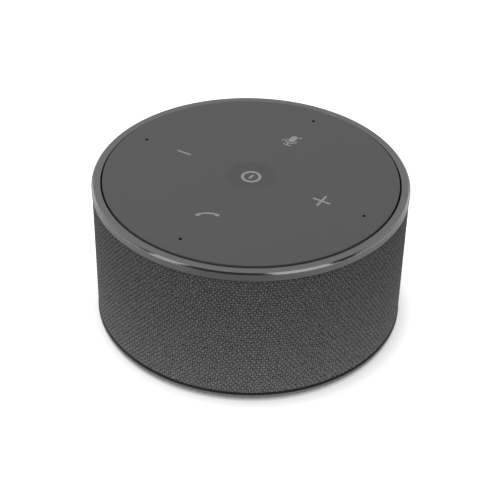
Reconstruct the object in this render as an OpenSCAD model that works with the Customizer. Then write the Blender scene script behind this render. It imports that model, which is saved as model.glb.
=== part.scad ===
// Round conference speakerphone: a cloth-covered drum with a soft touch panel on top, a trim ring,
// an upward-firing loudspeaker in a sealed chamber, and a rechargeable base with a USB-C port.
// Millimetres, +Z up. The origin is the centre of the foot's underside.
// +X points to the volume-up key, -Y to the call key, and +Y to the port at the back.

/* [Overall] */
// Outer diameter of the trim ring, the widest piece
body_d = 104; // [102:1:116]
// Height from the table to the top of the panel
body_h = 51.5; // [50:0.5:60]

/* [Trim ring] */
// Width of the ring's top face, from its outer wall to its bore
ring_face_w = 2.9; // [2.7:0.1:3.6]
// Height of the ring's outer wall above the cloth
ring_h = 2.8; // [2.4:0.1:3.4]
// Radius of the ring's polished outer edge
ring_round = 0.55; // [0.3:0.05:0.9]
// Radius of the ring's inner edge, beside the panel
ring_bore_round = 0.2; // [0.1:0.05:0.4]
// Thickness of the ledge that carries the panel
ledge_t = 1.2; // [0.9:0.1:1.5]
// Width of that ledge, inwards from the bore
ledge_w = 2.2; // [1.6:0.1:2.4]
// Width of the rebate in the drum's top that takes the ring's shoulder
rebate_w = 0.9; // [0.7:0.1:1]
// Thickness of the skirt that locates the ring in the drum
skirt_t = 1.1; // [0.8:0.1:1.3]
// Depth of the skirt below the ledge
skirt_h = 1.2; // [0.8:0.1:1.6]

/* [Touch panel] */
// Gap all round between the panel and the ring's bore
panel_gap = 0.6; // [0.3:0.05:0.7]
// How far the panel stands above the ring's top face
panel_proud = 0.45; // [0.1:0.05:0.6]
// Thickness of the soft skin
skin_t = 1.0; // [0.8:0.1:1.4]
// Radius of the skin's top edge
skin_round = 0.3; // [0.1:0.05:0.5]
// Thickness of the rigid carrier under the skin
carrier_t = 1.6; // [1.2:0.1:2]
// Diameter of each microphone hole
mic_hole_d = 1.0; // [0.8:0.1:1.4]
// Distance of the microphone holes from the panel's edge
mic_inset = 7; // [6.25:0.25:9]
// Diameter of the shallow finger dish round the power key
dish_d = 17; // [14:0.5:20]
// Depth of the finger dish at its centre
dish_depth = 0.25; // [0.1:0.05:0.35]

/* [Keys] */
// Diameter of the circle on which the four outer keys lie
key_circle_d = 52.6; // [48:0.2:56]
// Diameter of a key plunger where it slides in the carrier
key_d = 11; // [9:0.5:13]
// Travel of a key from rest to its click
key_travel = 0.3; // [0.2:0.05:0.35]
// Width of the flange that keeps a plunger below the carrier
key_flange_w = 0.8; // [0.5:0.1:1.2]
// Thickness of that flange
key_flange_t = 0.5; // [0.4:0.1:0.8]
// Depth of the pocket in the skin's underside that takes the top of a key
pocket_depth = 0.4; // [0.35:0.05:0.45]
// Width of the thinned, flexing ring of skin round each key
web_w = 1.2; // [0.8:0.1:2]
// Side of a tact switch
switch_w = 4.5; // [4:0.1:5.5]
// Height of a tact switch without its stem
switch_h = 1.2; // [1.1:0.1:1.6]
// Diameter of a switch stem
stem_d = 2; // [1.6:0.1:2.6]
// How far a stem stands out of its switch at rest
stem_out = 0.45; // [0.4:0.05:0.6]

/* [Drum] */
// How far the ring stands proud of the cloth
cloth_inset = 0.1; // [0:0.05:0.5]
// Thickness of the woven cloth
cloth_t = 0.6; // [0.4:0.1:0.9]
// Wall thickness of the slotted drum under the cloth
drum_wall = 1.8; // [1.5:0.1:2.2]
// Number of slots round the drum in each row, a multiple of eight
slot_count = 40; // [24:8:40]
// Number of rows of slots
slot_rows = 3; // [1:1:3]
// Width of a slot
slot_w = 4; // [2:0.2:4.2]
// Land between one row of slots and the next
slot_land = 2; // [1.5:0.1:4]
// Radius of the screw pillars inside the drum
pillar_r = 3.3; // [3.1:0.1:3.5]

/* [Base] */
// How far the foot stands below the base cover
foot_drop = 1.0; // [0.6:0.1:1.6]
// How deep the foot is let into the base cover
foot_recess = 0.8; // [0.5:0.1:1]
// Width of the ring-shaped foot
foot_w = 7.4; // [6.4:0.1:9]
// Radius of the foot's lower edges
foot_round = 0.5; // [0.2:0.1:0.8]
// Thickness of the base cover's floor
floor_t = 2.2; // [2:0.1:2.6]
// Height of the base cover's visible lip
lip_h = 1.5; // [1:0.1:1.7]
// How far the lip lies inside the ring's outer wall, seen from above
lip_inset = 0; // [0:0.05:0.3]
// Radius of the lip's lower edge
lip_round = 0.7; // [0.3:0.1:0.8]
// Height of the shadow gap between the lip and the cloth
shadow_gap = 0.7; // [0.4:0.1:1]
// Height of the electronics bay under the speaker chamber
bay_h = 8; // [7.6:0.1:10]

/* [Speaker chamber] */
// Clearance between the chamber and the drum's pillars
chamber_clear = 1; // [0.5:0.1:2]
// Wall thickness of the chamber
chamber_wall = 2; // [1.6:0.1:2.4]
// Thickness of the baffle that carries the driver
baffle_t = 2; // [1.6:0.1:3]
// Height of the mounting lugs above the chamber's underside
lug_up = 11; // [10:0.5:13]
// Thickness of the mounting lugs
lug_t = 2.4; // [2:0.1:3]

/* [Driver] */
// Diameter of the driver's mounting flange
driver_d = 58; // [57:0.5:62]
// Thickness of the flange
flange_t = 1.2; // [1:0.1:1.6]
// Free height between the driver's flange and the top frame, for the surround and the sound
headroom = 6.9; // [6.4:0.1:8]
// Width of the surround's half roll
surround_w = 3.75; // [3.55:0.05:4.55]
// Diameter of the pole piece inside the voice coil
pole_d = 14.4; // [13:0.2:15]
// Radial gap on each side of the voice coil
coil_gap = 0.3; // [0.25:0.05:0.4]
// Thickness of the coil former's wall
former_t = 0.3; // [0.2:0.05:0.4]
// Thickness of the winding on the former
winding_t = 0.35; // [0.25:0.05:0.5]
// Length of the winding
winding_h = 4; // [3:0.2:5]
// Diameter of the magnet
magnet_d = 34; // [31:0.5:38]
// Thickness of the magnet's front plate, and of the yoke's disc
plate_t = 2; // [1.6:0.1:2.4]
// Thickness of the soft surround, the spider and the cone
paper_t = 0.4; // [0.3:0.05:0.6]
// Largest excursion of the cone each way
cone_stroke = 1.5; // [1:0.1:1.6]

/* [Electronics] */
// Thickness of the main board
board_t = 1.6; // [1:0.1:2]
// Height of the posts under the main board
post_h = 1.8; // [1.4:0.1:2.2]
// Thickness of the key board
key_board_t = 1.2; // [0.8:0.1:1.6]
// Length of the battery cell, from side to side
battery_l = 56; // [44:1:57]
// Width of the battery cell, from front to back
battery_w = 32; // [26:1:33]
// Thickness of the battery cell
battery_t = 6; // [4:0.2:6.4]

/* [Port] */
// Width of the USB-C shell
usb_w = 8.94; // [8.94:0.01:9.2]
// Height of the USB-C shell
usb_h = 3.26; // [3.16:0.01:3.4]
// Wall of the USB-C shell
usb_wall = 0.3; // [0.2:0.05:0.35]
// Margin of the port bezel's mouth round the shell
mouth_margin = 0.5; // [0.4:0.05:0.8]
// Width of the port bezel's face round its mouth
bezel_face = 1.5; // [1.2:0.1:1.8]

/* [Fits] */
// Gap between faces that are glued or that rest on each other round a curve
glue_gap = 0.05; // [0.02:0.01:0.08]
// Radial clearance of a piece that slides
slide_fit = 0.1; // [0.06:0.01:0.1]
// Clearance of a piece that drops into place
drop_in = 0.3; // [0.2:0.05:0.35]

/* [Hidden] */
$fn = 96;
// A cut runs this far past the faces that it opens
past = 1;
far = 200;

// Heights, from the table up
lip_top = foot_drop + lip_h;
floor_top = foot_drop + floor_t;
seat_h = 2;
seat_top = floor_top + seat_h;
cloth_z0 = lip_top + shadow_gap;
chamber_z0 = floor_top + bay_h;
// Heights, from the top of the panel down
ring_top = body_h - panel_proud;
ring_z0 = ring_top - ring_h;
skin_top = body_h;
skin_z0 = skin_top - skin_t;
carrier_z0 = skin_z0 - carrier_t;
key_flange_z0 = carrier_z0 - glue_gap - key_flange_t;
stem_top = key_flange_z0 - glue_gap;
switch_top = stem_top - stem_out;
key_board_top = switch_top - switch_h;
key_board_z0 = key_board_top - key_board_t;
standoff_h = 1.2;
top_frame_t = 1.6;
top_frame_top = key_board_z0 - standoff_h;
top_frame_z0 = top_frame_top - top_frame_t;

// Radii, from the outside in
ring_r = body_d / 2;
bore_r = ring_r - ring_face_w;
panel_r = bore_r - panel_gap;
cloth_r = ring_r - cloth_inset;
drum_r = cloth_r - cloth_t - glue_gap;
drum_in = drum_r - drum_wall;
pillar_sink = 0.3;
pillar_c = drum_in + pillar_sink - pillar_r;
lip_r = ring_r - lip_inset;
plug_r = drum_in - drop_in;
mic_c = panel_r - mic_inset;
bezel_flange_t = 1.2;

// Screws: every one is a pan-head screw for plastic, in one of two sizes
screw_head_r = 2.1;
screw_head_h = 1.5;
screw_pilot_r = 1.05;
screw_hole_r = 1.4;
small_head_r = 1.8;
small_head_h = 1;
small_pilot_r = 0.8;
small_hole_r = 1.15;
pilot_depth = 8;

// Angles round the drum
pillar_angles = [45, 135, 225, 315];
quarter_angles = [0, 90, 180, 270];
hook_angles = [22.5, 67.5, 112.5, 157.5, 202.5, 247.5, 292.5, 337.5];
port_angle = 90;
ribbon_angle = 56;
lead_angle = 124;

// Keys: where each one lies, with the power key at the centre
key_r = key_circle_d / 2;
power_at = [0, 0, 0];
volume_up_at = [key_r, 0, 0];
mute_at = [0, key_r, 0];
volume_down_at = [-key_r, 0, 0];
call_at = [0, -key_r, 0];
key_places = [power_at, volume_up_at, mute_at, volume_down_at, call_at];

// Colours, as the photograph shows the outside and as such parts are inside
skin_grey = [0.36, 0.36, 0.36];
ring_grey = [0.45, 0.45, 0.45];
base_grey = [0.43, 0.43, 0.43];
cloth_grey = [0.31, 0.31, 0.31];
black_plastic = [0.12, 0.12, 0.12];
dark_rubber = [0.09, 0.09, 0.09];
board_green = [0.05, 0.28, 0.16];
bare_steel = [0.62, 0.62, 0.64];
copper = [0.72, 0.40, 0.20];

// A ring section with its upper outer corner rounded, for rotate_extrude
module rounded_section(r0, r1, z0, z1, round) {
    translate([r0, z0]) square([r1 - r0 - round, z1 - z0]);
    translate([r0, z0]) square([r1 - r0, z1 - z0 - round]);
    translate([r1 - round, z1 - round]) circle(round);
}

// A plain ring
module ring(r0, r1, z0, z1) {
    rotate_extrude() translate([r0, z0]) square([r1 - r0, z1 - z0]);
}

// A hole or bar of full height, for cutting
module bore(r, z0, z1) {
    translate([0, 0, z0]) cylinder(r = r, h = z1 - z0);
}

// Puts its children at a radius, once for each angle
module around(angles, r) {
    for (a = angles) rotate(a) translate([r, 0, 0]) children();
}

// A plate with rounded corners, centred, standing on z = 0
module rounded_plate(l, w, t, r) {
    linear_extrude(t) {
        square([l - 2 * r, w], center = true);
        square([l, w - 2 * r], center = true);
        for (x = [-1, 1], y = [-1, 1]) translate([x * (l / 2 - r), y * (w / 2 - r)]) circle(r);
    }
}

// A bar with round ends along X, which reaches from y0 to y1
module stadium_bar(w, h, y0, y1) {
    translate([0, y1, 0]) rotate([90, 0, 0]) linear_extrude(y1 - y0) {
        square([w - h, h], center = true);
        for (x = [-1, 1]) translate([x * (w - h) / 2, 0]) circle(h / 2);
    }
}

// A pan-head screw that stands on its head's underside at z = 0 and points down
module screw(shank_r, length, head_r, head_h) {
    slot_w = 0.5;
    difference() {
        union() {
            cylinder(r = head_r, h = head_h);
            translate([0, 0, -length]) cylinder(r = shank_r, h = length);
        }
        for (a = [0, 90]) rotate(a) translate([-head_r * 0.6, -slot_w / 2, head_h / 2])
            cube([head_r * 1.2, slot_w, head_h]);
    }
}

// A path in a plane with its corners rounded to one radius, n steps to a corner
function unit(v) = v / norm(v);
function corner(p, i, bend, n) =
    let (a = unit(p[i] - p[i - 1]), b = unit(p[i + 1] - p[i]), turn = acos(a * b),
         inward = sign(a[0] * b[1] - a[1] * b[0]) * [-a[1], a[0]],
         centre = p[i] - a * bend * tan(turn / 2) + inward * bend)
    [for (k = [0 : n]) centre + bend * (a * sin(turn * k / n) - inward * cos(turn * k / n))];
function rounded_path(p, bend, n) =
    concat([p[0]], [for (i = [1 : len(p) - 2]) each corner(p, i, bend, n)], [p[len(p) - 1]]);
// The direction of a path at one of its points, level with the first and last stretch at the ends
function heading(p, i) =
    let (v = p[min(i + 1, len(p) - 1)] - p[max(i - 1, 0)]) v / norm(v);

// A wire along points in the plane of X and Z, with rounded corners
module wire(points, r, bend) {
    sides = 8;
    p = rounded_path(points, bend, 5);
    last = len(p) - 1;
    rings = [for (i = [0 : last], k = [0 : sides - 1])
        let (t = heading(p, i), a = 360 * (k + 0.5) / sides)
        [p[i][0] - t[1] * r * cos(a), r * sin(a), p[i][1] + t[0] * r * cos(a)]];
    walls = [for (i = [0 : last - 1], k = [0 : sides - 1], half = [0, 1])
        let (a = i * sides + k, b = i * sides + (k + 1) % sides)
        half == 0 ? [a, b, b + sides] : [a, b + sides, a + sides]];
    start = [for (k = [1 : sides - 2]) [0, k + 1, k]];
    end = [for (k = [1 : sides - 2]) [last * sides, last * sides + k, last * sides + k + 1]];
    polyhedron(rings, concat(walls, start, end), convexity = 6);
}

// Touch panel

// Soft skin, moulded in one piece over the carrier and pressed through at the keys
module touch_skin() {
    dish_r = dish_d / 2;
    dish_sphere_r = (dish_r ^ 2 + dish_depth ^ 2) / (2 * dish_depth);
    color(skin_grey) difference() {
        rotate_extrude() rounded_section(0, panel_r, skin_z0, skin_top, skin_round);
        translate([0, 0, skin_top - dish_depth + dish_sphere_r]) sphere(dish_sphere_r);
        mic_holes(skin_z0 - past, skin_top + past);
        for (p = key_places) translate(p) key_pocket();
    }
}

// The pocket under the skin that takes one key and leaves a thin web round it to flex
module key_pocket() {
    bore(key_d / 2 + web_w, skin_z0 - past, skin_z0 + pocket_depth);
}

module mic_holes(z0, z1) {
    around(quarter_angles, mic_c) bore(mic_hole_d / 2, z0, z1);
}

// Rigid plate that carries the skin, guides the keys and snaps into the top frame
module panel_carrier() {
    color(black_plastic) {
        difference() {
            bore(panel_r, carrier_z0, skin_z0);
            mic_holes(carrier_z0 - past, skin_z0 + past);
            for (p = key_places) translate(p)
                bore(key_d / 2 + slide_fit, carrier_z0 - past, skin_z0 + past);
        }
        around(hook_angles, hook_c) snap_hook();
    }
}

// Snap hooks: a leg through a window in the top frame, with a barb that faces outwards
hook_t = 1.2;
hook_w = 5;
barb_out = 0.8;
barb_h = 1.4;
barb_gap = 0.1;
key_board_r = bore_r - ledge_w - barb_out - hook_t - 2 * drop_in;
hook_c = key_board_r + drop_in + hook_t / 2;
module snap_hook() {
    barb_top = top_frame_z0 - barb_gap;
    leg_z0 = barb_top - barb_h;
    rotate([90, 0, 0]) translate([0, 0, -hook_w / 2]) linear_extrude(hook_w) polygon([
        [-hook_t / 2, carrier_z0 + past / 2], [-hook_t / 2, leg_z0], [hook_t / 2, leg_z0],
        [hook_t / 2 + barb_out, barb_top], [hook_t / 2, barb_top], [hook_t / 2, carrier_z0 + past / 2]
    ]);
}

// Plated ring: its rounded edge, its flat top face, the ledge under the panel and the skirt in the drum
ledge_r = bore_r - ledge_w;
ledge_z0 = carrier_z0 - ledge_t;
module trim_ring() {
    shoulder_r = drum_in + rebate_w - drop_in;
    color(ring_grey) rotate_extrude() {
        difference() {
            rounded_section(bore_r, ring_r, ring_z0, ring_top, ring_round);
            translate([bore_r, ring_top - ring_bore_round]) bore_corner();
        }
        translate([ledge_r, ledge_z0]) square([shoulder_r - ledge_r, ledge_t]);
        translate([bore_r, ledge_z0]) square([shoulder_r - bore_r, ring_z0 + ring_h / 2 - ledge_z0]);
        translate([plug_r - skirt_t, ledge_z0 - skirt_h]) square([skirt_t, skirt_h + ledge_t / 2]);
    }
}

// What rounding takes off the ring's inner edge
module bore_corner() {
    difference() {
        translate([-past, 0]) square([past + ring_bore_round, past]);
        translate([ring_bore_round, 0]) circle(ring_bore_round);
    }
}

// Keys

module key_plunger() {
    color(black_plastic) {
        bore(key_d / 2, key_flange_z0 + key_flange_t / 2, skin_z0 + pocket_depth - glue_gap);
        bore(key_d / 2 + key_flange_w, key_flange_z0, key_flange_z0 + key_flange_t);
    }
}

stem_in = 0.4;
module switch_stem() {
    color([0.8, 0.8, 0.78]) bore(stem_d / 2, switch_top - stem_in, stem_top);
}

module tact_switches() {
    bore_depth = stem_in + key_travel + 0.2;
    color([0.2, 0.2, 0.21]) for (p = key_places) translate(p) difference() {
        translate([0, 0, key_board_top]) rounded_plate(switch_w, switch_w, switch_h, 0.4);
        bore(stem_d / 2 + slide_fit, switch_top - bore_depth, switch_top + past);
    }
}

// Microphones and their board

mic_l = 3.5;
mic_w = 2.65;
mic_h = 1;
module microphones() {
    port_r = 0.3;
    color([0.75, 0.68, 0.42]) around(quarter_angles, mic_c) difference() {
        translate([0, 0, key_board_top]) rounded_plate(mic_w, mic_l, mic_h, 0.2);
        bore(port_r, key_board_top + mic_h / 2, key_board_top + mic_h + past);
    }
}

// Rubber boots that lead each microphone hole down to its microphone
module mic_seals() {
    seal_r = 2;
    color(dark_rubber) around(quarter_angles, mic_c)
        ring(mic_hole_d / 2, seal_r, key_board_top + mic_h, carrier_z0);
}

standoff_c = 34;
module key_board() {
    color(board_green) difference() {
        bore(key_board_r, key_board_z0, key_board_top);
        around(pillar_angles, standoff_c) bore(small_hole_r, key_board_z0 - past, key_board_top + past);
    }
}

module key_board_screws() {
    length = key_board_t + standoff_h + 0.8;
    color(bare_steel) around(pillar_angles, standoff_c) translate([0, 0, key_board_top])
        screw(small_pilot_r - glue_gap, length, small_head_r, small_head_h);
}

// Plate that carries the key board, takes the panel's hooks and turns the sound outwards
top_frame_r = plug_r;
ribbon_w = 8;
ribbon_t = 0.3;
ribbon_c = hook_c + 0.4;
module top_frame() {
    deflector_r = 17;
    deflector_tip_r = 2;
    deflector_h = 3;
    color(black_plastic) difference() {
        union() {
            bore(top_frame_r, top_frame_z0, top_frame_top);
            around(pillar_angles, standoff_c) bore(post_r, top_frame_z0 + 0.2, key_board_z0);
            translate([0, 0, top_frame_z0 - deflector_h])
                cylinder(r1 = deflector_tip_r, r2 = deflector_r, h = deflector_h);
        }
        around(pillar_angles, standoff_c) bore(small_pilot_r, top_frame_z0 + 0.4, key_board_z0 + past);
        around(pillar_angles, pillar_c) bore(screw_hole_r, top_frame_z0 - past, top_frame_top + past);
        around(hook_angles, hook_c) hook_window();
        rotate(ribbon_angle) ribbon_slot();
    }
}

module hook_window() {
    translate([-hook_t / 2 - drop_in, -hook_w / 2 - drop_in, top_frame_z0 - past])
        cube([hook_t + 2 * drop_in, hook_w + 2 * drop_in, top_frame_t + 2 * past]);
}

module ribbon_slot() {
    slot_t = ribbon_t + 2 * drop_in;
    translate([ribbon_c - slot_t / 2, -ribbon_w / 2 - drop_in, top_frame_z0 - past])
        cube([slot_t, ribbon_w + 2 * drop_in, top_frame_t + 2 * past]);
}

module top_frame_screws() {
    color(bare_steel) around(pillar_angles, pillar_c) translate([0, 0, top_frame_top])
        screw(screw_pilot_r - glue_gap, pilot_depth, screw_head_r, screw_head_h);
}

// Drum and cloth

// Woven cloth, stretched round the drum and glued
module cloth_sleeve() {
    color(cloth_grey) difference() {
        ring(cloth_r - cloth_t, cloth_r, cloth_z0, ring_z0 - glue_gap);
        port_window(bezel_w + 2 * glue_gap, bezel_h + 2 * glue_gap);
    }
}

// A window through the drum and the cloth, round the port
module port_window(w, h) {
    translate([0, 0, port_z]) stadium_bar(w, h, drum_in - past - bezel_flange_t, ring_r + past);
}

// Moulded drum with its field of slots, screw pillars and chamber bosses
slot_z0 = cloth_z0 + 4;
slot_z1 = top_frame_z0 - 1;
slot_h = (slot_z1 - slot_z0 - (slot_rows - 1) * slot_land) / slot_rows;
slot_pitch = 360 / slot_count;
boss_h = 8;
lug_z0 = chamber_z0 + lug_up;
module slotted_drum() {
    color(black_plastic) difference() {
        union() {
            difference() {
                ring(drum_in, drum_r, lip_top, ring_z0);
                for (row = [0 : slot_rows - 1], k = [0 : slot_count - 1])
                    if (!at_port(row, (k + 0.5) * slot_pitch))
                        rotate((k + 0.5) * slot_pitch) drum_slot(slot_z0 + row * (slot_h + slot_land));
                port_window(bezel_w + 2 * glue_gap, bezel_h + 2 * glue_gap);
                bore(drum_in + rebate_w, ledge_z0 - drop_in, ring_z0 + past);
            }
            intersection() {
                union() {
                    around(pillar_angles, pillar_c) bore(pillar_r, seat_top, top_frame_z0);
                    around(quarter_angles, pillar_c) bore(pillar_r, lug_z0 - boss_h, lug_z0);
                }
                bore(drum_in + pillar_sink, 0, body_h);
            }
        }
        around(pillar_angles, pillar_c) {
            bore(screw_pilot_r, seat_top - past, seat_top + pilot_depth + 1);
            bore(screw_pilot_r, top_frame_z0 - pilot_depth, top_frame_z0 + past);
        }
        around(quarter_angles, pillar_c) bore(small_pilot_r, lug_z0 - boss_h + 1, lug_z0 + past);
    }
}

// One slot, open through the wall, standing on z
module drum_slot(z) {
    translate([drum_in - slide_fit, -slot_w / 2, z]) cube([drum_wall + slide_fit + past, slot_w, slot_h]);
}

// Whether a slot would cut into the land round the port
function at_port(row, angle) =
    let (slot_bottom = slot_z0 + row * (slot_h + slot_land), land_top = port_z + bezel_h / 2 + bezel_face)
    abs(angle - port_angle) < 12 && slot_bottom < land_top;

// Base

well_r = screw_head_r + drop_in;
foot_cover = 0.2;
foot_out = pillar_c + well_r + foot_cover;
foot_in = foot_out - foot_w;
module base_cover() {
    color(base_grey) difference() {
        union() {
            rotate_extrude() {
                translate([0, foot_drop]) square([plug_r, floor_t]);
                translate([0, foot_drop]) square([lip_r - lip_round, lip_h]);
                translate([0, foot_drop + lip_round]) square([lip_r, lip_h - lip_round]);
                translate([lip_r - lip_round, foot_drop + lip_round]) circle(lip_round);
            }
            around(pillar_angles, pillar_c) intersection() {
                bore(pillar_r, floor_top - past, seat_top);
                translate([-pillar_c, 0, 0]) bore(plug_r - drop_in, 0, body_h);
            }
            for (p = board_posts) translate(p) bore(post_r, floor_top - past, board_z0);
            for (side = [0, 180]) translate([0, battery_y, floor_top - past]) rotate(side)
                translate([battery_l / 2 + drop_in, -rib_l / 2, 0]) cube([rib_t, rib_l, rib_h + past]);
        }
        ring(foot_in - glue_gap, foot_out + glue_gap, foot_drop - past, foot_drop + foot_recess);
        around(pillar_angles, pillar_c) {
            bore(screw_hole_r, foot_drop - past, seat_top + past);
            bore(well_r, foot_drop - past, head_roof);
        }
        for (p = board_posts) translate(p) bore(small_pilot_r, floor_top - 1, board_z0 + past);
    }
}

// Screw heads lie in wells that the foot covers
head_roof = foot_drop + foot_recess + screw_head_h + 0.2;
module base_screws() {
    length = seat_top - head_roof + pilot_depth;
    color(bare_steel) around(pillar_angles, pillar_c) translate([0, 0, head_roof]) mirror([0, 0, 1])
        screw(screw_pilot_r - glue_gap, length, screw_head_r, screw_head_h);
}

// Rubber foot, a flat ring with rounded lower edges that is let into the base cover
module foot_ring() {
    color(dark_rubber) rotate_extrude() {
        translate([foot_in, foot_round]) square([foot_w, foot_drop + foot_recess - foot_round]);
        translate([foot_in + foot_round, 0]) square([foot_w - 2 * foot_round, foot_round]);
        for (r = [foot_in + foot_round, foot_out - foot_round]) translate([r, foot_round]) circle(foot_round);
    }
}

// Speaker chamber

chamber_r = pillar_c - pillar_r - chamber_clear;
chamber_in = chamber_r - chamber_wall;
chamber_floor_t = 1.8;
yoke_lift = 1;
yoke_z0 = chamber_z0 + chamber_floor_t + yoke_lift;
flange_z0 = top_frame_z0 - headroom;
gasket_t = 0.8;
baffle_top = flange_z0 - gasket_t;
baffle_z0 = baffle_top - baffle_t;
seal_t = 0.6;
tub_top = baffle_z0 - seal_t;
baffle_boss_r = 2.6;
baffle_screw_c = chamber_in + 0.4 - baffle_boss_r;
module chamber_tub() {
    color(black_plastic) difference() {
        union() {
            translate([0, 0, chamber_z0]) linear_extrude(tub_top - chamber_z0) tub_outline();
            bore(chamber_in + chamber_wall / 2, chamber_z0, chamber_z0 + chamber_floor_t);
            for (a = quarter_angles) rotate(a) translate([0, 0, lug_z0]) linear_extrude(lug_t) lug_outline();
        }
        around(quarter_angles, pillar_c) bore(small_hole_r, lug_z0 - past, lug_z0 + lug_t + past);
        around(pillar_angles, baffle_screw_c) bore(small_pilot_r, tub_top - pilot_depth, tub_top + past);
        rotate(lead_angle) grommet_bore(grommet_neck_r + glue_gap);
    }
}

// The tub's wall and its screw bosses seen from above
module tub_outline() {
    difference() {
        circle(chamber_r);
        circle(chamber_in);
    }
    around(pillar_angles, baffle_screw_c) circle(baffle_boss_r);
}

// A lug seen from above, from inside the chamber's wall to its round end
module lug_outline() {
    lug_r = plug_r - pillar_c;
    root_r = chamber_r - chamber_wall / 2;
    translate([pillar_c, 0]) circle(lug_r);
    translate([root_r, -lug_r]) square([pillar_c - root_r, 2 * lug_r]);
}

module chamber_screws() {
    color(bare_steel) around(quarter_angles, pillar_c) translate([0, 0, lug_z0 + lug_t])
        screw(small_pilot_r - glue_gap, lug_t + boss_h - 2, small_head_r, small_head_h);
}

// Foam seal between the tub and the baffle
module chamber_seal() {
    color([0.16, 0.16, 0.17]) difference() {
        ring(chamber_in - baffle_boss_r, chamber_r - 0.4, tub_top, baffle_z0);
        around(pillar_angles, baffle_screw_c) bore(small_hole_r, tub_top - past, baffle_z0 + past);
    }
}

// Baffle: the chamber's lid, with the opening for the driver
cutout_r = driver_d / 2 - 4.5;
driver_screw_c = driver_d / 2 - 2.2;
module baffle() {
    color(black_plastic) difference() {
        bore(chamber_r, baffle_z0, baffle_top);
        bore(cutout_r, baffle_z0 - past, baffle_top + past);
        around(pillar_angles, baffle_screw_c) bore(small_hole_r, baffle_z0 - past, baffle_top + past);
        around(pillar_angles, driver_screw_c) bore(small_pilot_r, baffle_z0 - past, baffle_top + past);
    }
}

module baffle_screws() {
    color(bare_steel) around(pillar_angles, baffle_screw_c) translate([0, 0, baffle_top])
        screw(small_pilot_r - glue_gap, baffle_t + seal_t + pilot_depth - 1, small_head_r, small_head_h);
}

// Grommet that seals the speaker lead's way out of the chamber
lead_r = 0.8;
grommet_neck_r = 1.8;
grommet_z = chamber_z0 + 7;
module grommet_bore(r) {
    translate([chamber_in - past, 0, grommet_z]) rotate([0, 90, 0])
        cylinder(r = r, h = chamber_wall + 2 * past);
}
module lead_grommet() {
    collar_r = 2.8;
    collar_t = 0.8;
    color(dark_rubber) rotate(lead_angle) translate([0, 0, grommet_z]) rotate([0, 90, 0]) difference() {
        union() {
            bore(grommet_neck_r, chamber_in - collar_t, chamber_r + collar_t);
            difference() {
                bore(collar_r, chamber_in - collar_t - 0.4, chamber_r + collar_t);
                rotate([0, -90, 0]) translate([0, 0, -grommet_z])
                    ring(chamber_in - glue_gap, chamber_r + glue_gap, 0, body_h);
            }
        }
        bore(lead_r + glue_gap, chamber_in - collar_t - past, chamber_r + collar_t + past);
    }
}

// Driver

// Heights in the driver, from its flange down
flange_top = flange_z0 + flange_t;
magnet_t = 4.2;
plate_top = yoke_z0 + 2 * plate_t + magnet_t;
// The spider lies midway between the flange and the front plate
ledge_share = 0.5;
ledge_drop = ledge_share * (flange_z0 - plate_top);
spider_z = flange_z0 - ledge_drop;
basket_t = 1;
basket_r = cutout_r - 0.5;
basket_in = basket_r - basket_t;
ledge_out = basket_r - 3.3;
ledge_in = ledge_out - 4;
basket_foot_r = magnet_d / 2 - 0.8;
// The surround's roll starts this far out on the flange, and the cone ends at its inner edge
roll_lap = 0.6;
roll_end = basket_in + roll_lap;
roll_in = roll_end - surround_w;
cone_r = roll_in - glue_gap;

module driver_gasket() {
    color(dark_rubber) difference() {
        ring(cutout_r, driver_d / 2, baffle_top, flange_z0);
        around(pillar_angles, driver_screw_c) bore(small_hole_r, baffle_top - past, flange_z0 + past);
    }
}

// Pressed basket: flange, spider ledge and foot, joined by walls with windows
module driver_basket() {
    window_w = 11;
    windows = [0 : 60 : 300];
    foot_in_r = pole_d / 2 + 3;
    color([0.18, 0.18, 0.19]) difference() {
        rotate_extrude() polygon([
            [driver_d / 2, flange_top], [driver_d / 2, flange_z0], [basket_r, flange_z0],
            [ledge_out + basket_t, spider_z - basket_t], [ledge_in + basket_t, spider_z - basket_t],
            [basket_foot_r, plate_top + basket_t], [basket_foot_r, plate_top], [foot_in_r, plate_top],
            [foot_in_r, plate_top + basket_t], [basket_foot_r - basket_t, plate_top + basket_t],
            [ledge_in, spider_z], [ledge_out, spider_z], [basket_in, flange_z0], [basket_in, flange_top]
        ]);
        for (a = windows) rotate(a) {
            translate([ledge_in, -window_w / 2, spider_z + 0.6])
                cube([driver_d, window_w, ledge_drop - 1.2]);
            translate([foot_in_r + 1, -window_w / 3, plate_top + basket_t + 0.4])
                cube([driver_d, window_w / 1.5, spider_z - plate_top - 2 * basket_t - 0.8]);
        }
        around(pillar_angles, driver_screw_c) bore(small_hole_r, flange_z0 - past, flange_top + past);
    }
}

module driver_screws() {
    color(bare_steel) around(pillar_angles, driver_screw_c) translate([0, 0, flange_top])
        screw(small_pilot_r - glue_gap, flange_t + gasket_t + baffle_t, small_head_r, small_head_h);
}

gap_out = pole_d / 2 + 2 * coil_gap + former_t + winding_t;
module front_plate() {
    color(bare_steel) ring(gap_out, magnet_d / 2 - 0.6, plate_top - plate_t, plate_top);
}

module magnet() {
    color([0.22, 0.22, 0.23])
        ring(gap_out + 1, magnet_d / 2, plate_top - plate_t - magnet_t, plate_top - plate_t);
}

// Yoke: the disc behind the magnet and the vented pole inside the coil
module yoke() {
    vent_r = 2;
    color(bare_steel) difference() {
        union() {
            bore(magnet_d / 2 - 0.6, plate_top - 2 * plate_t - magnet_t, plate_top - plate_t - magnet_t);
            bore(pole_d / 2, plate_top - 2 * plate_t - magnet_t, plate_top + 0.3);
        }
        bore(vent_r, chamber_z0, flange_top);
    }
}

// Block with the driver's two solder tags, on the rim of the spider ledge
terminal_out = 2.4;
module terminal_block() {
    block_w = 7;
    block_h = 1.8;
    color([0.55, 0.42, 0.22]) rotate(lead_angle)
        translate([ledge_out, -block_w / 2, spider_z - basket_t - block_h])
            cube([terminal_out + basket_t, block_w, block_h]);
}

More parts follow.
